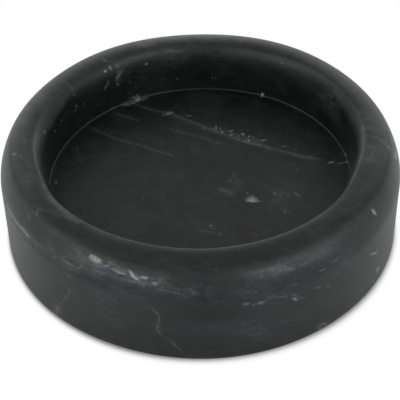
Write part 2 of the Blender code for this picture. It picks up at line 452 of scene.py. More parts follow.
    ("S", -15.5, 54.6, 0.83, 0.51, 5, 0.041, "w"),
    ("S", -123.4, 19.1, 0.92, 0.49, -123, 0.012, "w"),
    ("S", -77.3, 29.9, 0.58, 0.42, 147, 0.00095, "b"),
    ("S", -73.2, 29.7, 0.72, 0.41, 176, 0.022, "w"),
    ("S", -71.6, 28.5, 0.74, 0.4, 169, 0.00074, "b"),
    ("S", -69.8, 30.0, 0.79, 0.46, 169, 0.0011, "w"),
    ("S", -67.6, 27.8, 0.45, 0.28, 115, 0.041, "w"),
    ("S", -64.1, 24.9, 0.47, 0.28, 118, 0.054, "w"),
    ("S", -61.9, 24.0, 0.86, 0.4, 161, 0.029, "w"),
    ("S", -99.5, 38.1, 0.96, 0.4, 172, 0.0011, "b"),
    ("S", -97.8, 37.5, 0.96, 0.4, 175, 0.001, "b"),
    ("S", -95.6, 36.8, 0.91, 0.36, 175, 0.009, "b"),
    ("S", -93.6, 36.5, 0.96, 0.4, 169, 0.0037, "g"),
    ("S", -91.0, 37.5, 0.91, 0.35, 173, 0.00087, "g"),
    ("F", 18.2, 29.5, 0.54, 0.33, 88, 0.06, "w"),
    ("F", 17.6, 28.2, 0.89, 0.5, 145, 0.04, "w"),
    ("F", 28.0, 22.7, 1.06, 0.52, 160, 0.056, "w"),
    ("F", 31.7, 21.1, 1.09, 0.51, 154, 0.049, "w"),
    ("F", 19.9, 26.5, 0.94, 0.48, 138, 0.015, "w"),
)
# Veins: where, the points, half width in mm, strength and tint. Three are painted highlight lines instead: at the
# floor's edge at the rear left and at the right, and on the left front shoulder.
VEINS_AND_HIGHLIGHT_LINES = (
    ("F", ((-33.3, 57.6), (-28.8, 55.1), (-23.9, 52.5), (-19.0, 50.5), (-13.6, 49.2), (-9.3, 45.8), (-4.5, 42.4), (0.3, 39.1), (5.0, 35.8), (10.7, 32.1), (16.7, 28.4), (20.4, 26.0), (24.5, 23.8), (29.1, 22.2), (32.8, 20.3), (36.9, 18.5), (41.9, 16.3), (47.7, 13.6), (51.3, 12.6), (54.5, 11.6), (58.0, 9.5)), 0.79, 0.017, "w"),
    ("F", ((-24.8, 51.5), (-19.0, 47.9), (-14.1, 46.7), (-9.3, 43.4), (-4.0, 39.6), (1.7, 35.9), (7.4, 32.6), (13.0, 29.7), (18.1, 27.2)), 0.8, 0.0028, "w"),
    ("F", ((-15.5, 37.4), (-10.2, 34.5), (-4.5, 31.8), (1.6, 28.9), (7.2, 25.6), (12.8, 23.2)), 0.66, 0.012, "w"),
    ("F", ((-53.3, 39.2), (-48.9, 36.3), (-43.9, 32.6), (-40.0, 29.8), (-34.7, 26.9), (-29.0, 25.0), (-24.7, 22.8), (-22.3, 20.8), (-17.6, 18.8), (-13.9, 16.8), (-10.2, 14.3)), 0.41, 0.019, "w"),
    ("F", ((-42.3, 50.9), (-35.9, 47.0), (-31.0, 44.4), (-27.1, 43.1)), 0.59, 0.017, "w"),
    # Painted highlight: the bright line where the bowl's wall meets the floor at the rear left.
    ("S", ((125.2, 82.7), (121.2, 83.8), (117.4, 83.9), (114.1, 83.5), (110.9, 82.8)), 0.61, 0.06, "w"),
    ("S", ((6.4, 94.7), (5.0, 89.1), (4.7, 82.1)), 0.36, 0.00096, "w"),
    ("S", ((6.5, 89.2), (7.2, 85.7), (7.3, 82.5)), 0.35, 0.049, "w"),
    ("F", ((30.4, 20.0), (37.2, 16.0), (44.3, 11.0)), 0.42, 0.00036, "w"),
    ("F", ((-2.7, -34.9), (0.3, -36.3), (3.7, -37.7), (6.7, -38.2)), 0.37, 0.03, "w"),
    ("F", ((21.8, -38.6), (26.0, -41.3)), 0.36, 0.019, "w"),
    ("S", ((-1.0, 58.2), (-2.4, 56.9), (-2.9, 53.0), (-5.1, 49.8), (-7.1, 47.4), (-6.4, 43.7)), 0.52, 0.016, "w"),
    ("S", ((-143.9, 50.4), (-144.6, 48.9), (-144.6, 47.4), (-144.1, 46.4), (-142.9, 45.8)), 0.49, 0.027, "w"),
    ("S", ((-128.7, 30.6), (-127.8, 29.6), (-127.0, 28.2)), 0.57, 0.025, "w"),
    ("S", ((-127.9, 25.1), (-128.1, 20.9), (-129.6, 15.9), (-131.4, 11.9), (-133.1, 7.2), (-134.6, 2.3)), 0.39, 0.016, "w"),
    ("S", ((-103.9, 28.7), (-103.5, 26.9), (-102.4, 25.5), (-101.6, 23.6), (-101.4, 21.0), (-101.9, 18.2), (-102.0, 15.3), (-101.2, 12.6), (-100.1, 10.5)), 0.39, 0.022, "w"),
    ("S", ((-100.1, 10.5), (-98.2, 8.9), (-97.2, 6.5), (-96.2, 4.2), (-95.1, 1.1)), 0.41, 0.017, "w"),
    ("S", ((127.7, 54.3), (126.9, 56.1), (127.0, 57.9)), 0.46, 0.039, "w"),
    ("F", ((-18.2, 25.4), (-15.4, 23.3)), 0.4, 0.0045, "w"),
    ("F", ((-57.9, 13.7), (-53.3, 13.9)), 0.45, 0.014, "w"),
    ("F", ((-33.0, 2.7), (-23.0, 3.5)), 0.43, 0.0011, "w"),
    ("S", ((-77.3, 28.2), (-76.2, 28.4)), 0.47, 0.033, "b"),
    # Painted highlight: the same bright line at the floor's edge, at the right.
    ("S", ((13.4, 82.8), (10.6, 81.8)), 0.37, 0.028, "w"),
    ("S", ((0.0, 59.3), (-2.4, 61.4), (-5.8, 63.6), (-3.1, 74.3), (-13.2, 60.9)), 0.75, 0.00039, "w"),
    ("S", ((146.8, 50.3), (146.1, 53.7), (146.4, 57.5), (146.1, 60.3), (146.8, 63.3)), 0.52, 0.012, "w"),
    ("S", ((-144.8, 47.3), (-142.2, 49.8), (-139.6, 51.5), (-136.6, 51.3)), 0.36, 0.012, "w"),
    ("S", ((-138.5, 45.5), (-136.6, 48.9), (-133.1, 50.1)), 0.36, 0.0002, "w"),
    ("S", ((-167.6, 47.1), (-164.6, 48.9), (-161.3, 49.7)), 0.34, 0.00034, "w"),
    ("S", ((-164.0, 42.8), (-159.2, 42.2), (-154.4, 41.7), (-150.0, 40.7), (-144.9, 39.8)), 0.68, 0.0004, "w"),
    ("F", ((12.5, 30.9), (18.1, 27.6), (23.6, 24.5), (29.1, 21.9), (35.5, 18.9)), 1.44, 0.0092, "w"),
    ("F", ((-15.1, 48.8), (-9.3, 45.0), (-3.5, 41.2), (2.2, 37.5), (7.9, 33.7), (13.5, 30.5)), 1.29, 0.0057, "w"),
    ("F", ((40.0, 16.5), (45.4, 14.1), (50.4, 12.3), (54.4, 10.8)), 1.09, 0.013, "w"),
    ("F", ((2.6, 34.7), (7.8, 31.4), (13.4, 28.1), (18.0, 25.7)), 0.86, 0.00034, "w"),
    # Painted highlight: a bright line along the left front shoulder, where the wall turns into the rim.
    ("S", ((-161.9, 33.8), (-159.0, 33.9), (-156.4, 34.2), (-153.6, 34.2), (-151.0, 34.5), (-148.4, 34.7), (-146.2, 34.8), (-144.4, 35.0), (-142.9, 35.0)), 0.68, 0.069, "w"),
    ("S", ((-136.0, 40.5), (-135.8, 42.5), (-135.1, 44.6), (-134.4, 47.0)), 0.42, 0.0064, "w"),
    ("S", ((-136.9, 38.6), (-136.0, 38.3), (-134.8, 38.0), (-132.9, 37.8)), 0.5, 0.017, "w"),
    ("S", ((-144.0, 49.4), (-142.0, 51.9), (-139.3, 53.6), (-135.6, 54.0), (-131.1, 55.2)), 0.81, 0.01, "w"),
    ("S", ((-143.5, 36.6), (-142.2, 34.8), (-140.0, 35.6)), 0.64, 0.01, "w"),
    ("S", ((-153.2, 39.8), (-152.1, 39.0), (-150.9, 38.3)), 0.67, 0.008, "w"),
    ("S", ((-151.1, 45.2), (-149.5, 44.7), (-148.4, 43.8)), 0.48, 0.017, "w"),
    ("S", ((-147.5, 44.7), (-147.1, 43.1), (-145.6, 42.0)), 0.54, 0.017, "w"),
)
# Clouds: where, the points, half width in mm, strength and tint. Among them are painted highlights, in strips along the
# rim's shoulder, crest and mouth. Negative strengths darken the stone; on the rim they are painted shade over
# reflections that come out too bright.
HAZES_AND_PAINTED_LIGHT = (
    ("F", ((-14.1, 48.4), (-2.1, 40.0), (9.7, 33.3), (19.0, 27.6)), 1.6, -0.00076, "w"),
    ("S", ((123.9, 66.2),), 4.3, -0.00068, "b"),
    ("S", ((127.0, 63.0),), 4.2, -0.008, "l"),
    ("S", ((116.7, 74.7),), 4.5, -0.0013, "l"),
    ("S", ((109.4, 65.3), (97.2, 65.7), (85.2, 66.3), (73.1, 66.3)), 3.6, -0.00048, "l"),
    ("S", ((100.4, 64.7),), 4.0, 0.0073, "w"),
    ("S", ((94.4, 64.8),), 3.0, 0.0059, "g"),
    ("S", ((-118.8, 38.0),), 3.2, 0.02, "b"),
    ("S", ((-116.5, 39.2),), 2.6, -0.0011, "l"),
    ("S", ((-112.4, 42.6),), 3.4, 0.0061, "b"),
    ("S", ((-106.5, 41.4),), 3.3, 0.0067, "b"),
    ("S", ((-101.0, 39.5),), 3.3, 0.028, "g"),
    ("S", ((-94.5, 37.4),), 3.7, 0.01, "b"),
    ("S", ((-91.9, 37.1),), 1.7, 0.015, "g"),
    ("S", ((-88.4, 37.5),), 1.7, 0.0066, "g"),
    ("S", ((-84.0, 43.8),), 4.0, -0.0032, "b"),
    ("S", ((-78.8, 41.9),), 3.7, 0.0039, "b"),
    ("S", ((-77.8, 35.1),), 3.5, 0.0059, "g"),
    ("S", ((-127.5, 37.1),), 3.9, 0.025, "g"),
    ("S", ((-123.5, 37.8),), 2.8, 0.026, "w"),
    ("S", ((-135.4, 39.2),), 4.1, 0.0094, "w"),
    ("S", ((-145.0, 40.2),), 5.6, 0.0005, "w"),
    ("F", ((38.1, -6.8),), 11.2, 0.0026, "w"),
    ("S", ((28.5, 70.4),), 9.7, 0.0093, "w"),
    ("S", ((-115.2, 19.8),), 10.5, 0.0068, "l"),
    ("S", ((-72.2, 17.3),), 10.1, 0.002, "l"),
    ("S", ((-90.8, 22.4),), 12.0, 9.1e-05, "l"),
    ("S", ((-47.0, 43.2),), 5.7, -0.0054, "l"),
    # Painted highlight: lilac strips on the front right shoulder, where a band of reflected light falls.
    ("S", ((-76.0, 42.8), (-69.1, 42.0), (-63.2, 40.8), (-56.8, 40.8), (-49.2, 42.6), (-41.2, 44.4)), 2.0, 0.0054, "l"),
    ("S", ((-74.1, 42.6), (-70.5, 42.2), (-66.7, 41.7)), 1.6, 0.022, "l"),
    ("S", ((-66.1, 41.9), (-59.4, 41.1), (-51.5, 41.1)), 2.1, 0.0059, "l"),
    ("S", ((-124.9, 42.5), (-121.4, 41.9), (-117.2, 40.5)), 2.3, 0.017, "b"),
    ("S", ((-114.5, 41.0), (-109.9, 40.2), (-105.9, 39.5)), 2.6, 0.032, "b"),
    ("S", ((-103.8, 39.2), (-99.6, 38.0), (-94.5, 36.0)), 2.1, 0.0069, "b"),
    # Painted highlight along the left front shoulder, where the wall turns into the rim, with painted shade above it
    # where the strength is negative.
    ("S", ((-167.0, 39.8), (-159.9, 39.9), (-149.8, 35.3)), 1.9, -0.015, "w"),
    ("S", ((-148.4, 35.3), (-142.4, 35.3), (-135.6, 35.6), (-128.7, 35.7)), 1.9, 0.013, "w"),
    ("S", ((-140.4, 47.3), (-135.2, 46.1)), 3.8, -0.013, "w"),
    ("S", ((-148.1, 50.9), (-144.9, 46.7)), 3.0, 0.0019, "w"),
    # Painted highlight on the left of the rim, near the mouth.
    ("S", ((177.2, 58.1), (-174.1, 58.1), (-166.6, 58.4)), 2.4, 0.0063, "w"),
    ("S", ((-163.2, 58.7),), 2.7, -0.0003, "w"),
    ("S", ((105.6, 53.4), (94.6, 52.5), (82.0, 52.8)), 3.5, 0.012, "w"),
    ("S", ((80.0, 54.5), (68.6, 54.9), (57.4, 53.4)), 3.3, -0.00097, "w"),
    ("S", ((111.5, 54.5), (107.8, 54.5)), 2.6, 0.016, "w"),
    ("S", ((137.7, 53.9), (127.4, 53.7), (119.0, 53.4)), 3.9, 0.001, "w"),
    ("S", ((147.4, 56.9), (147.1, 60.6), (147.1, 65.4)), 2.3, -0.00041, "w"),
    ("S", ((161.6, 54.3), (149.9, 56.3)), 3.0, 0.0079, "w"),
    ("S", ((175.6, 50.7), (-174.5, 49.5), (-164.6, 51.2)), 4.2, -0.011, "w"),
    ("S", ((115.2, 64.4), (109.2, 64.4), (104.4, 64.2)), 2.0, -0.0085, "w"),
    ("S", ((132.1, 63.2), (126.0, 62.6)), 2.1, -0.036, "w"),
    ("S", ((160.9, 59.0), (154.9, 59.7)), 2.3, -0.036, "w"),
    ("S", ((46.6, 66.0), (36.8, 66.5), (28.8, 67.8)), 2.7, 0.0033, "w"),
    ("S", ((14.0, 58.2), (5.9, 58.2)), 2.3, -0.037, "w"),
    ("S", ((32.9, 78.9), (25.9, 79.8)), 3.3, -0.013, "w"),
    ("S", ((-0.8, 58.1), (-4.7, 53.6), (-5.4, 46.8)), 3.1, -0.011, "w"),
    ("S", ((-18.1, 50.0), (-22.6, 44.4), (-29.6, 41.6)), 2.7, -0.00039, "w"),
    ("S", ((4.1, 75.9), (2.5, 82.7), (-26.7, 61.8)), 3.1, 0.0096, "w"),
    ("F", ((12.1, 31.7), (18.1, 27.6), (23.6, 24.4), (31.9, 21.1)), 1.8, -0.0098, "w"),
    ("F", ((-28.8, 53.7), (-19.0, 49.3), (-9.3, 44.2), (0.3, 38.3)), 1.9, -9.2e-05, "w"),
    ("F", ((14.8, -1.2), (16.9, -5.5)), 2.3, 0.0059, "w"),
    ("F", ((9.6, -9.5), (13.1, -11.7)), 2.2, 0.017, "w"),
    ("F", ((33.4, -17.1), (40.1, -10.4), (36.6, -22.6)), 3.3, 0.0073, "w"),
    ("F", ((45.5, 2.2), (53.3, -2.3), (60.5, -8.2)), 4.6, -0.00067, "w"),
    ("F", ((43.6, 7.4), (50.3, 5.0)), 3.5, 0.0056, "w"),
    ("F", ((-9.2, 8.9), (2.2, 6.4)), 2.9, -0.0078, "w"),
    ("F", ((-13.0, 12.7), (-10.2, 11.1)), 2.3, -0.019, "w"),
    ("S", ((-104.8, 26.4), (-103.9, 19.8), (-102.8, 14.4)), 2.9, 0.0037, "b"),
    ("S", ((-89.4, 33.5), (-86.9, 31.8)), 2.2, -0.0052, "b"),
    ("S", ((-95.9, 27.6), (-83.0, 26.1)), 3.8, -0.0066, "l"),
    ("S", ((-77.8, 14.0), (-74.4, 9.0)), 4.0, 0.0065, "l"),
    ("S", ((-82.5, 20.3), (-72.4, 18.5)), 3.9, 0.0016, "l"),
    ("S", ((-66.5, 13.7), (-60.2, 13.5)), 3.7, 0.0042, "l"),
    ("S", ((-50.8, 33.5), (-46.6, 35.7)), 3.1, 0.0043, "l"),
    ("S", ((-84.2, 36.6), (-80.9, 35.1)), 2.1, 0.0047, "b"),
    ("S", ((-79.6, 31.8), (-74.6, 32.1), (-69.8, 31.2)), 2.3, 0.004, "b"),
    # Painted shade: darker strips on the front of the rim, over reflections that come out too bright.
    ("S", ((-89.2, 43.8), (-84.9, 42.2), (-80.1, 40.5)), 1.6, -0.027, "w"),
    ("S", ((-112.6, 45.0), (-108.3, 45.0), (-104.0, 44.6)), 1.2, -0.036, "w"),
    ("S", ((-77.0, 46.7), (-71.4, 46.2)), 1.6, -0.024, "w"),
    ("S", ((-49.8, 46.7), (-42.9, 45.9)), 1.8, -0.021, "w"),
    ("S", ((-36.1, 21.8), (-30.9, 18.2)), 3.0, -0.015, "w"),
    ("S", ((-25.5, 21.9), (-28.0, 17.6)), 2.3, -0.017, "w"),
    ("S", ((-56.5, 1.8), (-54.4, 1.7)), 1.3, 0.038, "w"),
    ("S", ((-133.9, 3.9), (-135.0, 0.3)), 2.0, 0.041, "w"),
    ("S", ((-122.4, 29.1), (-119.5, 25.5)), 3.3, 0.0014, "l"),
    ("S", ((-109.0, 31.8), (-113.2, 32.4)), 2.8, 0.0072, "l"),
    # Painted highlight along the crest: the first strip at the right, the next two at the left.
    ("S", ((11.2, 57.0), (1.8, 56.3), (-7.5, 55.2), (-14.5, 55.4)), 3.4, 0.016, "w"),
    ("S", ((170.2, 50.0), (178.5, 53.0), (-173.2, 54.2), (-165.4, 53.9), (-157.9, 52.5)), 3.1, 0.013, "w"),
    ("S", ((165.9, 50.9), (156.0, 50.6)), 3.1, 0.0098, "w"),
    ("S", ((-117.8, 29.6), (-103.6, 33.8), (-90.6, 30.9), (-77.9, 31.2), (-63.9, 29.1)), 7.3, 0.004, "v"),
    ("S", ((-96.0, 17.3), (-83.0, 14.6), (-69.4, 10.8)), 5.8, 0.003, "v"),
    ("S", ((-68.1, 36.6), (-57.6, 33.9), (-46.9, 32.0)), 3.5, 0.004, "v"),
    # These two are painted highlight, violet, on the same front shoulder band.
    ("S", ((-63.1, 42.0), (-51.8, 39.9), (-41.8, 38.7)), 2.6, 0.004, "v"),
    ("S", ((-93.2, 43.4), (-84.0, 42.9)), 2.4, 0.003, "v"),
    ("S", ((132.1, 63.2), (125.7, 61.7), (118.5, 62.4)), 2.7, 0.003, "v"),
    ("S", ((113.4, 63.6), (99.1, 63.8), (83.2, 63.3), (67.4, 61.7), (57.0, 60.5)), 2.5, 0.003, "v"),
    ("S", ((52.1, 62.4), (42.6, 61.1)), 2.6, 0.002, "v"),
    ("S", ((-80.5, 32.1), (-72.5, 30.6), (-65.4, 26.7)), 1.4, -0.0037, "b"),
    ("S", ((-79.1, 30.0), (-74.6, 29.4)), 1.2, -0.0026, "b"),
    ("S", ((-73.0, 30.2), (-69.1, 29.4), (-64.4, 25.2)), 1.1, 0.018, "b"),
    ("F", ((13.5, 31.6), (19.0, 27.6), (24.6, 24.3), (30.0, 21.1)), 1.3, 0.0037, "w"),
    ("F", ((-24.9, 55.2), (-16.6, 50.1), (-6.9, 44.9)), 1.4, 0.0015, "w"),
    ("S", ((123.6, 62.7), (123.1, 65.1), (124.0, 67.1), (125.0, 68.7)), 1.3, 0.016, "b"),
    ("S", ((125.5, 62.7), (123.5, 64.4), (121.7, 65.3)), 1.1, 0.015, "b"),
    ("S", ((126.6, 57.8), (125.1, 59.7), (123.8, 61.7)), 1.3, 0.011, "w"),
    ("S", ((122.0, 66.6), (122.9, 69.3)), 1.2, 0.0083, "b"),
    # Painted highlight: a thin lilac line just inside the rear left mouth, along the edge of the rim's reflection.
    ("S", ((118.9, 62.1), (113.2, 62.3), (107.0, 62.3), (101.0, 62.3), (96.2, 62.1)), 0.6, 0.015, "l"),
    ("S", ((118.4, 77.9), (119.1, 80.7)), 1.7, 0.005, "b"),
    # The first two are painted highlight along the left front crest; the third, with a negative strength, is painted
    # shade.
    ("S", ((-153.9, 56.6), (-148.9, 56.3), (-143.0, 56.3), (-137.5, 56.3), (-131.4, 56.1)), 1.4, 0.024, "w"),
    ("S", ((-126.8, 56.1), (-121.4, 56.0), (-115.6, 56.0)), 1.2, 0.0088, "w"),
    ("S", ((-36.8, 56.7), (-41.6, 56.4), (-46.1, 56.4)), 1.2, -0.0019, "w"),
    ("F", ((7.4, 36.1), (13.6, 33.6), (19.1, 30.3), (24.7, 27.4), (29.3, 25.4)), 1.3, 0.012, "w"),
    ("F", ((17.2, 28.4), (22.7, 25.6), (28.3, 23.1)), 1.2, 0.017, "w"),
    ("F", ((-31.3, 57.1), (-25.9, 54.0), (-20.0, 51.4)), 1.3, -0.0034, "w"),
    # The two strips at 41 to 43 mm up the section are painted highlight, violet, on the front shoulder band.
    ("S", ((-85.9, 43.2), (-80.1, 42.3)), 2.4, 0.004, "v"),
    ("S", ((-77.4, 42.0), (-70.9, 41.4)), 2.4, 0.005, "v"),
    ("S", ((-79.4, 30.2), (-74.6, 29.9), (-69.1, 29.3), (-64.4, 25.5)), 1.7, 0.003, "v"),
)


# The sides that can't be seen in the photograph get marks of the same kinds and density.
def unseen_marks():
    rng = np.random.default_rng(11)
    specks, hazes = [], []
    for _ in range(52):
        a, c = rng.uniform(20, 160), rng.uniform(2, 31)
        long = rng.uniform(0.35, 1.0)
        specks.append(("S", a, c, long, long * rng.uniform(0.35, 0.9), rng.normal(8, 25), 0.02 + 0.22 * rng.random() ** 4, "wwcbg"[rng.integers(5)]))
    for _ in range(12):
        a, c = rng.uniform(-155, -25), rng.uniform(64, 81)
        specks.append(("S", a, c, rng.uniform(0.3, 0.6), rng.uniform(0.25, 0.35), rng.uniform(0, 90), rng.uniform(0.01, 0.06), "w"))
    for _ in range(30):
        a, r = rng.uniform(-math.pi, math.pi), 84 * math.sqrt(rng.random())
        specks.append(("B", r * math.cos(a), r * math.sin(a), rng.uniform(0.4, 1.1), rng.uniform(0.25, 0.5), rng.normal(-28, 20), rng.uniform(0.01, 0.09), "wcb"[rng.integers(3)]))
    for _ in range(16):
        a, c = rng.uniform(22, 150), rng.uniform(6, 30)
        hazes.append(("S", ((a, c), (a + rng.uniform(4, 16), c + rng.normal(0, 2.5))), rng.uniform(1.6, 4.5), rng.uniform(0.003, 0.016), "wwblg"[rng.integers(5)]))
    for _ in range(10):
        x, y = rng.uniform(-55, 55, 2)
        hazes.append(("B", ((x, y), (x + 14, y - 7)), rng.uniform(2.0, 6.0), rng.uniform(0.003, 0.010), "wbl"[rng.integers(3)]))
    return tuple(specks), tuple(hazes)


SPECKS, HAZES_AND_PAINTED_LIGHT = (old + new for old, new in zip((SPECKS, HAZES_AND_PAINTED_LIGHT), unseen_marks()))
VEINS_AND_HIGHLIGHT_LINES += (
    ("S", ((52, 2.5), (55, 9), (53.5, 15), (57, 22), (58, 30)), 0.24, 0.028, "w"),
    ("S", ((58, 9), (66, 11), (75, 10.5), (83, 14)), 0.2, 0.02, "w"),
    ("S", ((96, 31), (98, 24), (103, 19), (102, 12), (106, 3)), 0.3, 0.034, "w"),
    ("S", ((121, 16), (129, 14), (138, 15.5), (149, 12)), 0.22, 0.024, "b"),
    ("S", ((139, 29), (143, 23), (142, 18)), 0.2, 0.02, "w"),
    ("S", ((-128, 82), (-122, 74), (-117, 66)), 0.2, 0.018, "w"),
    ("B", ((-60, 32), (-31, 20), (2, 1), (34, -13), (63, -31)), 0.3, 0.03, "w"),
    ("B", ((-44, -12), (-20, -25), (8, -37)), 0.22, 0.022, "w"),
    ("B", ((-6, 46), (22, 33), (49, 20)), 0.2, 0.02, "w"),
)
# MARKS END


def spot(where, a, b):
    """A place on the stone: F is x, y on the bowl's floor, and S is azimuth in degrees and distance up the section."""
    if where == "F":
        return np.array([a, b, FLOOR_Z + BASE]), np.array([0.0, 0.0, 1.0])
    if where == "B":
        return np.array([a, b, BASE]), np.array([0.0, 0.0, -1.0])
    return on_section(a, b)


def route(where, points, step=1.0):
    """Points and outward directions about every step mm along a line through the given places."""
    p = np.array(points, float)
    if where == "S":
        p[:, 0] = np.degrees(np.unwrap(np.radians(p[:, 0])))
    scale = np.array([RADIUS * math.pi / 180 if where == "S" else 1.0, 1.0])
    d = np.concatenate([[0], np.cumsum(np.hypot(*(np.diff(p, axis=0) * scale).T))])
    n = max(2, int(math.ceil(d[-1] / step)) + 1)
    at = np.linspace(0, d[-1], n)
    # smoothed corners: a running mean of the straight route
    fine = np.stack([np.interp(at, d, p[:, k]) for k in range(2)], -1)
    if n > 4:
        soft = fine.copy()
        soft[1:-1] = (fine[:-2] + 2 * fine[1:-1] + fine[2:]) / 4
        fine = soft
    got = [spot(where, *q) for q in fine]
    return np.array([g[0] for g in got]), np.array([g[1] for g in got])


def share_out(items, gap):
    """Puts items (points, reach in mm) into sets, so that those in one set are further apart than gap mm beyond their reaches."""
    out = []
    for k, (pts, reach) in enumerate(items):
        for have in out:
            near = min(np.min(np.linalg.norm(items[h][0][:, None] - pts[None], axis=-1)) - items[h][1] - reach for h in have)
            if near > gap:
                have.append(k)
                break
        else:
            out.append([k])
    return out


FAR = 9.0


def put(name, kind, values):
    a = dish.data.attributes.new(name, kind, "POINT")
    a.data.foreach_set("vector" if kind == "FLOAT_VECTOR" else "color", np.ascontiguousarray(values, np.float32).ravel())


def mark_specks():
    """For each set: across and along a mark in its half sizes, and the mm beyond its reach; and its colour."""
    places = [spot(*mark[:3]) for mark in SPECKS]
    sets = share_out([(np.array([p]), mark[3]) for (p, _), mark in zip(places, SPECKS)], 6.4)
    for s, have in enumerate(sets):
        vec = np.full((len(CO), 3), FAR)
        col = np.zeros((len(CO), 4))
        best = np.full(len(CO), 1e9)
        for k in have:
            p, n = places[k]
            where, _, _, long, short, angle, strength, tint = SPECKS[k]
            e1 = np.array([1.0, 0.0, 0.0]) if where in "FB" else np.array([-p[1], p[0], 0.0]) / math.hypot(p[0], p[1])
            e2 = np.cross(n, e1)
            c_, s_ = math.cos(math.radians(angle)), math.sin(math.radians(angle))
            t, b = e1 * c_ + e2 * s_, e2 * c_ - e1 * s_
            i = np.where((np.abs(CO - p) < FAR + long).all(1))[0]
            near = np.linalg.norm(CO[i] - p, axis=1)
            keep = (near - long < FAR) & (near < best[i])
            i, near = i[keep], near[keep]
            d = CO[i] - p
            vec[i] = np.stack([d @ t / long, d @ b / short, near - long], -1)
            col[i, :3] = np.array(TINTS[tint]) * strength
            best[i] = near
        put(f"speck_{s}", "FLOAT_VECTOR", vec)
        put(f"speck_colour_{s}", "FLOAT_COLOR", col)
    return len(sets)


def mark_veins_and_highlight_lines():
    """For each set of lines, the veins and the painted highlight lines: mm beside a line, along it, and from it; its
    colour, fading to its ends, and half its width.
    """
    lines = [route(w, pts) for w, pts, *_ in VEINS_AND_HIGHLIGHT_LINES]
    sets = share_out([(p, 0.0) for p, _ in lines], 6.0)
    for s, have in enumerate(sets):
        vec = np.zeros((len(CO), 3))
        vec[:, 0] = vec[:, 2] = FAR
        col = np.zeros((len(CO), 4))
        best = np.full(len(CO), 1e9)
        for k in have:
            pts, nor = lines[k]
            _, _, half, strength, tint = VEINS_AND_HIGHLIGHT_LINES[k]
            lo, hi = pts.min(0) - FAR, pts.max(0) + FAR
            pick = np.where(((lo < CO) & (hi > CO)).all(1))[0]
            x = CO[pick]
            seg = pts[1:] - pts[:-1]
            ln = np.linalg.norm(seg, axis=1)
            base = np.concatenate([[0], np.cumsum(ln)])
            got = np.full(len(pick), 1e9)
            lat, tt = np.zeros(len(pick)), np.zeros(len(pick))
            for i in range(len(seg)):
                e = seg[i] / ln[i]
                f = (x - pts[i]) @ e
                fc = np.clip(f, 0, ln[i])
                dist = np.linalg.norm(x - (pts[i] + fc[:, None] * e), axis=1)
                closer = dist < got
                got[closer] = dist[closer]
                lat[closer] = ((x - pts[i]) @ np.cross(e, nor[i]))[closer]
                tt[closer] = (base[i] + f)[closer]
            close = (got < FAR) & (got < best[pick])
            i = pick[close]
            taper = np.minimum(tt, base[-1] - tt) / min(4.0, 0.35 * base[-1])
            col[i, :3] = np.array(TINTS[tint]) * strength * (smooth(taper)[close, None])
            col[i, 3] = half
            vec[i] = np.stack([lat[close], tt[close], got[close]], -1)
            best[i] = got[close]
        put(f"vein_{s}", "FLOAT_VECTOR", vec)
        put(f"vein_and_highlight_colour_{s}", "FLOAT_COLOR", col)
    return len(sets)


def mark_hazes_and_painted_light():
    col = np.zeros((len(CO), 4))
    for w, pts, half, strength, tint in HAZES_AND_PAINTED_LIGHT:
        p = route(w, pts)[0] if len(pts) > 1 else np.array([spot(w, *pts[0])[0]])
        i = np.where(((CO > p.min(0) - 2.6 * half) & (CO < p.max(0) + 2.6 * half)).all(1))[0]
        near = np.full(len(i), 1e9)
        for q in p:
            near = np.minimum(near, np.linalg.norm(CO[i] - q, axis=1))
        col[i, :3] += np.exp(-((near / half) ** 2))[:, None] * np.array(TINTS[tint]) ** 1.5 * strength
    # The sum may go below zero by at most 0.002; there the painted shade darkens the stone's colour.
    col[:, :3] = np.maximum(col[:, :3], -0.002)
    put("haze", "FLOAT_COLOR", col)


SPECK_SETS, VEIN_AND_HIGHLIGHT_LINE_SETS = mark_specks(), mark_veins_and_highlight_lines()
mark_hazes_and_painted_light()


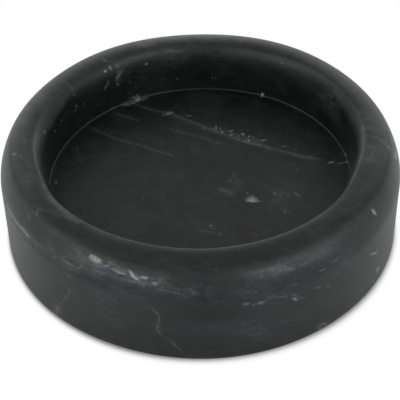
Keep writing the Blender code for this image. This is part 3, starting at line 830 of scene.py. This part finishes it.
# ---------------------------------------------------------------- materials
class Nodes:
    """Short ways to make and join shader nodes."""

    def __init__(self, tree):
        self.tree = tree
        for n in list(tree.nodes):
            tree.nodes.remove(n)

    def new(self, kind, **settings):
        n = self.tree.nodes.new(kind)
        for k, v in settings.items():
            setattr(n, k, v)
        return n

    def feed(self, socket, value):
        if isinstance(value, bpy.types.NodeSocket):
            self.tree.links.new(value, socket)
        else:
            socket.default_value = value

    def maths(self, op, a, b=0.0, c=0.0, clamp=False):
        n = self.new("ShaderNodeMath", operation=op, use_clamp=clamp)
        for s, v in zip(n.inputs, (a, b, c)):
            self.feed(s, v)
        return n.outputs[0]

    def vector(self, op, a, b=(0, 0, 0)):
        n = self.new("ShaderNodeVectorMath", operation=op)
        self.feed(n.inputs[0], a)
        self.feed(n.inputs[1], b)
        return n.outputs["Value"] if op in ("LENGTH", "DOT_PRODUCT", "DISTANCE") else n.outputs[0]

    def scaled(self, a, factor):
        n = self.new("ShaderNodeVectorMath", operation="SCALE")
        self.feed(n.inputs[0], a)
        self.feed(n.inputs["Scale"], factor)
        return n.outputs[0]

    def ramp(self, value, lo, hi, out_lo=0.0, out_hi=1.0):
        n = self.new("ShaderNodeMapRange", interpolation_type="SMOOTHSTEP")
        for s, v in zip(n.inputs, (value, lo, hi, out_lo, out_hi)):
            self.feed(s, v)
        return n.outputs[0]

    def noise(self, vector, scale, detail=2.0, rough=0.5, distortion=0.0, colour=False):
        n = self.new("ShaderNodeTexNoise", noise_dimensions="3D")
        self.feed(n.inputs["Vector"], vector)
        for k, v in (("Scale", scale), ("Detail", detail), ("Roughness", rough), ("Distortion", distortion)):
            n.inputs[k].default_value = v
        return n.outputs["Color" if colour else "Fac"]

    def attribute(self, name, output="Vector"):
        return self.new("ShaderNodeAttribute", attribute_name=name).outputs[output]

    def mix(self, factor, a, b, blend="MIX"):
        n = self.new("ShaderNodeMix", data_type="RGBA", blend_type=blend, clamp_factor=True)
        self.feed(n.inputs[0], factor)
        self.feed(n.inputs[6], a)
        self.feed(n.inputs[7], b)
        return n.outputs[2]

    def rgb(self, *c):
        n = self.new("ShaderNodeRGB")
        n.outputs[0].default_value = (*c, 1.0)
        return n.outputs[0]


def principled(k, **values):
    b = k.new("ShaderNodeBsdfPrincipled")
    for name, v in values.items():
        k.feed(b.inputs[name.replace("_", " ")], v)
    out = k.new("ShaderNodeOutputMaterial")
    k.tree.links.new(b.outputs[0], out.inputs["Surface"])
    return b


def marble():
    mat = bpy.data.materials.new("black_marble")
    mat.use_nodes = True
    k = Nodes(mat.node_tree)
    mm = k.scaled(k.new("ShaderNodeTexCoord").outputs["Object"], 1000.0)
    # the bed of the stone, along which clouds and streaks are drawn out: it dips 19 degrees towards the rear right
    bed = k.new("ShaderNodeMapping", vector_type="TEXTURE")
    k.feed(bed.inputs["Vector"], mm)
    bed.inputs["Rotation"].default_value = (math.radians(-19), 0.0, math.radians(-28))
    bed.inputs["Scale"].default_value = (3.2, 2.0, 0.75)
    bedded = bed.outputs[0]
    bed_fine = k.vector("MULTIPLY", mm, (0.55, 0.9, 1.9))
    clouds = k.noise(bedded, 0.07, 3.0, 0.55, 0.6)
    patches = k.noise(mm, 0.055, 4.0, 0.6, 0.8)
    streaks = k.noise(bedded, 0.42, 4.0, 0.65, 0.3)
    grain = k.noise(mm, 0.8, 4.0, 0.65)
    colour = k.mix(k.ramp(clouds, 0.36, 0.66), k.rgb(0.0, 0.0006, 0.0002), k.rgb(0.0012, 0.0024, 0.0018))
    colour = k.mix(k.maths("MULTIPLY", k.ramp(patches, 0.42, 0.70), k.ramp(streaks, 0.36, 0.64, 0.35, 1.0)), colour, k.rgb(0.0078, 0.0092, 0.0086))
    fine = k.noise(bed_fine, 1.0, 3.0, 0.6)
    colour = k.mix(k.ramp(fine, 0.50, 0.74), colour, k.rgb(0.0085, 0.0098, 0.0092))
    tone = k.maths("MULTIPLY", k.ramp(streaks, 0.44, 0.72), k.ramp(grain, 0.36, 0.66))
    colour = k.mix(tone, colour, k.rgb(0.0110, 0.0124, 0.0120))
    # faint threads, finer than the drawn veins
    ridge = k.noise(bedded, 0.10, 5.0, 0.55, 1.2)
    thread = k.maths("SUBTRACT", 1.0, k.ramp(k.maths("ABSOLUTE", k.maths("SUBTRACT", ridge, 0.5)), 0.0, 0.006))
    broken = k.ramp(k.noise(mm, 0.12, 3.0, 0.6), 0.52, 0.68)
    colour = k.mix(k.maths("MULTIPLY", k.maths("MULTIPLY", thread, broken), 0.8), colour, k.rgb(0.014, 0.015, 0.015))
    # the clouds that were placed, with the painted highlights and painted shade among them, torn into streaks
    torn = k.maths("MULTIPLY", k.ramp(k.noise(bedded, 0.45, 4.0, 0.65, 0.3), 0.30, 0.70, 0.1, 1.9), k.ramp(grain, 0.30, 0.70, 0.55, 1.45))
    colour = k.mix(1.0, colour, k.scaled(k.attribute("haze", "Color"), torn), "ADD")
    # veins and the painted highlight lines: mm beside, along and from each; colour, with half the width in its alpha
    wobble = k.maths("ADD", k.maths("MULTIPLY", k.maths("SUBTRACT", k.noise(mm, 0.35, 2.0, 0.5), 0.5), 1.3), k.maths("MULTIPLY", k.maths("SUBTRACT", k.noise(mm, 1.6, 2.0, 0.5), 0.5), 0.5))
    shred = k.noise(mm, 1.3, 3.0, 0.7)
    for s in range(VEIN_AND_HIGHLIGHT_LINE_SETS):
        sep = k.new("ShaderNodeSeparateXYZ")
        k.feed(sep.inputs[0], k.attribute(f"vein_{s}"))
        paint = k.new("ShaderNodeAttribute", attribute_name=f"vein_and_highlight_colour_{s}")
        side = k.maths("DIVIDE", k.maths("ABSOLUTE", k.maths("ADD", sep.outputs[0], wobble)), k.maths("MAXIMUM", paint.outputs["Alpha"], 0.05))
        line = k.maths("ADD", k.ramp(side, 1.6, 0.2), k.ramp(side, 6.0, 0.0, 0.0, 0.22))
        line = k.maths("MULTIPLY", line, k.ramp(sep.outputs[2], 2.6, 1.9))
        line = k.maths("MULTIPLY", line, k.ramp(shred, 0.34, 0.62, 0.15, 1.5))
        colour = k.mix(1.0, colour, k.scaled(paint.outputs["Color"], line), "ADD")
    # specks: place over half size, and mm beyond the mark's reach
    warp = k.scaled(k.vector("SUBTRACT", k.noise(mm, 1.0, 3.0, 0.65, colour=True), (0.5, 0.5, 0.5)), 1.5)
    for s in range(SPECK_SETS):
        place = k.attribute(f"speck_{s}")
        whole = k.new("ShaderNodeSeparateXYZ")
        k.feed(whole.inputs[0], place)
        away = k.vector("LENGTH", k.vector("MULTIPLY", k.vector("ADD", place, warp), (1, 1, 0)))
        mask = k.maths("MULTIPLY", k.ramp(away, 1.75, 0.15), k.ramp(whole.outputs[2], 1.9, 1.3))
        mask = k.maths("MULTIPLY", mask, k.ramp(shred, 0.28, 0.62, 0.35, 1.0))
        colour = k.mix(mask, colour, k.attribute(f"speck_colour_{s}", "Color"))
    rough = k.maths("ADD", 0.385, k.maths("MULTIPLY", k.noise(mm, 0.35, 3.0, 0.6), 0.03))
    bump = k.new("ShaderNodeBump")
    bump.inputs["Strength"].default_value = 0.25
    bump.inputs["Distance"].default_value = 0.00001
    k.feed(bump.inputs["Height"], k.noise(mm, 1.6, 3.0, 0.6))
    b = principled(k, Base_Color=colour, Roughness=rough, Specular_IOR_Level=0.3)
    k.feed(b.inputs["Normal"], bump.outputs[0])
    return mat


dish.data.materials.append(marble())


# ---------------------------------------------------------------- the felt pads
def felt():
    mat = bpy.data.materials.new("charcoal_felt")
    mat.use_nodes = True
    k = Nodes(mat.node_tree)
    mm = k.scaled(k.new("ShaderNodeTexCoord").outputs["Object"], 1000.0)
    tangle = k.noise(mm, 5.0, 4.0, 0.75, 1.5)
    pale = k.ramp(k.noise(mm, 9.0, 2.0, 0.6, 2.5), 0.60, 0.72)
    colour = k.mix(k.ramp(tangle, 0.3, 0.7), k.rgb(0.026, 0.026, 0.028), k.rgb(0.062, 0.062, 0.066))
    colour = k.mix(k.maths("MULTIPLY", pale, 0.5), colour, k.rgb(0.16, 0.16, 0.17))
    bump = k.new("ShaderNodeBump")
    bump.inputs["Strength"].default_value = 0.8
    bump.inputs["Distance"].default_value = 0.0001
    k.feed(bump.inputs["Height"], tangle)
    b = principled(k, Base_Color=colour, Roughness=0.95, Specular_IOR_Level=0.2, Sheen_Weight=0.35)
    b.inputs["Sheen Roughness"].default_value = 0.5
    k.feed(b.inputs["Normal"], bump.outputs[0])
    return mat


def film():
    mat = bpy.data.materials.new("adhesive_film")
    mat.use_nodes = True
    k = Nodes(mat.node_tree)
    mm = k.scaled(k.new("ShaderNodeTexCoord").outputs["Object"], 1000.0)
    haze = k.noise(mm, 0.8, 3.0, 0.6)
    colour = k.mix(haze, k.rgb(0.50, 0.46, 0.36), k.rgb(0.62, 0.58, 0.48))
    principled(k, Base_Color=colour, Roughness=k.maths("ADD", 0.25, k.maths("MULTIPLY", haze, 0.2)), Specular_IOR_Level=0.5)
    return mat


FELT, FILM = felt(), film()


def mesh_object(name, co, faces, mat, smooth_faces=True):
    mesh = bpy.data.meshes.new(name)
    mesh.from_pydata([tuple(float(c) * MM for c in v) for v in co], [], faces)
    mesh.validate()
    if smooth_faces:
        mesh.shade_smooth()
    mesh.materials.append(mat)
    obj = bpy.data.objects.new(name, mesh)
    bpy.context.scene.collection.objects.link(obj)
    return obj


def build_pad(node, seed):
    """A punched felt disc: a slightly ragged edge, a face pressed uneven by the stone's weight, and loose fibres round it."""
    lo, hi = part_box(node)
    cx, cy = (lo.x + hi.x) / 2 / MM, (lo.y + hi.y) / 2 / MM
    r, h = (hi.x - lo.x) / 2 / MM, (hi.z - lo.z) / MM
    rng = np.random.default_rng(seed)
    n = 160
    a = np.arange(n) * 2 * math.pi / n
    wave = sum(rng.normal(0, 1.0) * np.cos(m * a + rng.uniform(0, 6.28)) / m**0.6 for m in (5, 9, 14, 21, 33, 47)) * 0.018
    verts, rings = [], []
    rows = [(0.25, 0.0), (0.5, 0.0), (0.72, 0.0), (0.88, 0.0), (0.965, 0.0), (0.992, 0.06), (1.0, 0.22), (1.006, 0.45), (1.008, 0.6), (1.004, 0.85), (0.998, 1.05), (0.985, h - 0.02), (0.93, h), (0.6, h), (0.3, h)]
    for k, (f, z) in enumerate(rows):
        edge = max(0.0, 1 - abs(f - 1.0) / 0.12)
        rr = r * f + (wave + rng.normal(0, 0.012, n)) * edge
        zz = np.full(n, z) + (rng.normal(0, 0.010, n) + 0.012 if 0 < z < h - 0.05 else (np.abs(rng.normal(0, 0.006, n)) if z == 0 else -np.abs(rng.normal(0, 0.004, n))))
        rings.append(len(verts))
        verts += [(cx + rr[i] * math.cos(a[i]), cy + rr[i] * math.sin(a[i]), max(0.0, zz[i])) for i in range(n)]
    faces = []
    for s0, s1 in zip(rings, rings[1:]):
        for i in range(n):
            j = (i + 1) % n
            faces.append((s0 + i, s0 + j, s1 + j, s1 + i))
    for ring, z, up in ((rings[0], 0.0, False), (rings[-1], h, True)):
        verts.append((cx, cy, z))
        c = len(verts) - 1
        for i in range(n):
            j = (i + 1) % n
            faces.append((ring + i, ring + j, c) if up else (ring + j, ring + i, c))
    # fibres: thin bent threads that stand off the cut edge
    for _ in range(260):
        b0 = rng.uniform(0, 2 * math.pi)
        z0 = rng.uniform(0.12, h - 0.15)
        length = rng.uniform(0.15, 0.55)
        lean, lift = rng.normal(0, 0.7), rng.normal(0, 0.35)
        thick = rng.uniform(0.010, 0.018)
        out = np.array([math.cos(b0), math.sin(b0), 0.0])
        side = np.array([-math.sin(b0), math.cos(b0), 0.0])
        start = np.array([cx, cy, z0]) + out * (r - 0.05)
        prev = None
        for q in range(4):
            t = q / 3
            p = start + (out * (0.6 * t + 0.05) + side * lean * t * t + np.array([0, 0, lift * t])) * length
            p[2] = min(max(p[2], 0.02), h - 0.02)
            w = thick * (1 - 0.6 * t)
            ring = []
            for m in range(3):
                ang = 2 * math.pi * m / 3
                verts.append(tuple(p + side * w * math.cos(ang) + np.array([0, 0, w * math.sin(ang)])))
                ring.append(len(verts) - 1)
            if prev:
                for m in range(3):
                    faces.append((prev[m], prev[(m + 1) % 3], ring[(m + 1) % 3], ring[m]))
            else:
                faces.append(tuple(reversed(ring)))
            prev = ring
        faces.append(tuple(prev))
    obj = mesh_object("felt_" + node[4:], verts, faces, FELT)
    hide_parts(node)
    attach(obj, "root")
    # the film of adhesive between felt and stone
    verts, faces = [], []
    m = 96
    for f, z in ((0.93, h + 0.002), (0.95, h + 0.05), (0.95, BASE - 0.05), (0.93, BASE - 0.002)):
        for i in range(m):
            b0 = 2 * math.pi * i / m
            verts.append((cx + r * f * math.cos(b0), cy + r * f * math.sin(b0), z))
    for s in range(3):
        for i in range(m):
            j = (i + 1) % m
            faces.append((s * m + i, s * m + j, (s + 1) * m + j, (s + 1) * m + i))
    faces.append(tuple(reversed(range(m))))
    faces.append(tuple(range(3 * m, 4 * m)))
    stick = mesh_object("film_" + node[4:], verts, faces, FILM)
    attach(stick, "root")


for seed, node in enumerate(("pad_front_left", "pad_front_right", "pad_rear_right", "pad_rear_left")):
    build_pad(node, 11 + seed)

# ---------------------------------------------------------------- camera
ELEVATION, DISTANCE, FOCAL = 0.7220, 6.5, 1237.14
AIM_PITCH, AIM_YAW, ROLL = -0.0138 - 0.0004, -0.0004 - 0.0004, -0.0191
R = RADIUS * MM
pos = Vector((0, -DISTANCE * math.cos(ELEVATION) * R, DISTANCE * math.sin(ELEVATION) * R + BASE * MM))
pitch = ELEVATION + AIM_PITCH
fwd = Vector((math.sin(AIM_YAW) * math.cos(pitch), math.cos(AIM_YAW) * math.cos(pitch), -math.sin(pitch)))
right = fwd.cross(Vector((0, 0, 1))).normalized()
up = right.cross(fwd)
c, s = math.cos(ROLL), math.sin(ROLL)
right, up = c * right + s * up, c * up - s * right
cam_data = bpy.data.cameras.new("camera")
cam_data.sensor_width = 36.0
cam_data.lens = 36.0 * FOCAL / 400.0
cam_data.clip_start, cam_data.clip_end = 0.01, 50.0
cam = bpy.data.objects.new("camera", cam_data)
bpy.context.scene.collection.objects.link(cam)
m = Matrix((right, up, -fwd)).transposed().to_4x4()
m.translation = pos
cam.matrix_world = m
bpy.context.scene.camera = cam

# ---------------------------------------------------------------- floor and light
# The painted contact shadow on the floor round the stone:
SHADE_UNDER = 2.5  # mm that it begins inside the outline at the front, and at the back; 0 at the sides
SHADE_DEPTH, SHADE_FRONT, SHADE_SIDE = 0.77, 2.45, 1.3  # how dark, and how far it reaches in mm

floor_mesh = bpy.data.meshes.new("floor")
floor_mesh.from_pydata([(-20, -20, 0), (20, -20, 0), (20, 20, 0), (-20, 20, 0)], [], [(0, 1, 2, 3)])
floor = bpy.data.objects.new("floor", floor_mesh)
bpy.context.scene.collection.objects.link(floor)
fm = bpy.data.materials.new("pale_floor")
fm.use_nodes = True
k = Nodes(fm.node_tree)
# The camera sees white paper with a painted contact shadow round the foot, drawn by distance from the stone; the stone
# sees a pale matt floor.
flat = k.vector("MULTIPLY", k.scaled(k.new("ShaderNodeTexCoord").outputs["Object"], 1000.0), (1, 1, 0))
out_from = k.vector("LENGTH", flat)
across = k.maths("DIVIDE", k.maths("ABSOLUTE", k.vector("DOT_PRODUCT", flat, (0, 1, 0))), k.maths("MAXIMUM", out_from, 1.0))
width = k.maths("MULTIPLY_ADD", across, SHADE_FRONT - SHADE_SIDE, SHADE_SIDE)
right_of = k.maths("DIVIDE", k.vector("DOT_PRODUCT", flat, (1, 0, 0)), k.maths("MAXIMUM", out_from, 1.0))
width = k.maths("MULTIPLY", width, k.maths("MULTIPLY_ADD", right_of, 0.20, 0.95))
begin = k.maths("MULTIPLY_ADD", across, -SHADE_UNDER, RADIUS)
away = k.maths("DIVIDE", k.maths("MAXIMUM", k.maths("SUBTRACT", out_from, begin), 0.0), width)
shade = k.maths("EXPONENT", k.maths("MULTIPLY", k.maths("POWER", away, 2.0), -1.0))
white_with_painted_shadow = k.maths("MULTIPLY_ADD", shade, -SHADE_DEPTH, 1.0)
# Painted shadow under the stone: the paper goes nearly black inward of the outline.
white_with_painted_shadow = k.maths("MULTIPLY", white_with_painted_shadow, k.ramp(out_from, RADIUS - 16.0, RADIUS - SHADE_UNDER, 0.03, 1.0))  # dark under the stone
paper_with_painted_shadow = k.new("ShaderNodeEmission")
k.feed(paper_with_painted_shadow.inputs["Strength"], white_with_painted_shadow)
diffuse = k.new("ShaderNodeBsdfDiffuse")
k.feed(diffuse.inputs["Color"], (0.9, 0.9, 0.9, 1.0))
either = k.new("ShaderNodeMixShader")
k.feed(either.inputs[0], k.new("ShaderNodeLightPath").outputs["Is Camera Ray"])
k.tree.links.new(diffuse.outputs[0], either.inputs[1])
k.tree.links.new(paper_with_painted_shadow.outputs[0], either.inputs[2])
k.tree.links.new(either.outputs[0], k.new("ShaderNodeOutputMaterial").inputs["Surface"])
floor_mesh.materials.append(fm)

# Soft light all round: each row is azimuth and elevation in degrees, how narrow, how bright.
LIGHT = (
    (0, 8, 30, 1.61), (30, 8, 30, 0.64), (60, 8, 30, 1.88), (90, 8, 30, 1.90), (120, 8, 30, 1.91), (150, 8, 30, 0.42),
    (180, 8, 30, 2.30), (210, 8, 30, 4.34), (240, 8, 30, 3.41), (270, 8, 30, 0.81), (300, 8, 30, 4.04), (330, 8, 30, 4.11),
    (0, 30, 30, 0.50), (30, 30, 30, 0.62), (60, 30, 30, 1.69), (90, 30, 30, 0.15), (120, 30, 30, 1.68), (150, 30, 30, 0.79),
    (180, 30, 30, 1.42), (210, 30, 30, 0.02), (240, 30, 30, 0.15), (270, 30, 30, 0.62), (300, 30, 30, 0.83), (330, 30, 30, 0.56),
    (0, 50, 24, 1.25), (40, 50, 24, 0.02), (80, 50, 24, 0.33), (120, 50, 24, 0.00), (160, 50, 24, 0.85), (200, 50, 24, 0.75),
    (240, 50, 24, 0.53), (280, 50, 24, 0.64), (320, 50, 24, 0.75), (0, 70, 24, 0.33), (72, 70, 24, 0.92), (144, 70, 24, 0.29),
    (216, 70, 24, 0.69), (288, 70, 24, 0.58), (0, 90, 24, 0.23),
)  # fmt: skip
world = bpy.data.worlds.new("world")
bpy.context.scene.world = world
world.use_nodes = True
k = Nodes(world.node_tree)
direction = k.new("ShaderNodeTexCoord").outputs["Generated"]
total = 0.0
for azimuth, elevation, narrow, bright in LIGHT:
    a, e = math.radians(azimuth), math.radians(elevation)
    facing = k.vector("DOT_PRODUCT", direction, (math.cos(a) * math.cos(e), math.sin(a) * math.cos(e), math.sin(e)))
    fall = k.maths("EXPONENT", k.maths("MULTIPLY_ADD", facing, narrow, -narrow))
    total = k.maths("MULTIPLY_ADD", fall, bright, total)
seen = k.new("ShaderNodeLightPath").outputs["Is Camera Ray"]
grey = k.new("ShaderNodeCombineXYZ")
for i, share in enumerate((0.985, 1.012, 1.0)):
    k.feed(grey.inputs[i], k.maths("MULTIPLY", total, share))
bg = k.new("ShaderNodeBackground")
k.feed(bg.inputs["Color"], k.mix(seen, grey.outputs[0], k.rgb(1.0, 1.0, 1.0)))
k.tree.links.new(bg.outputs[0], k.new("ShaderNodeOutputWorld").inputs["Surface"])

bpy.context.scene.view_settings.view_transform = "Standard"
bpy.context.scene.view_settings.look = "None"
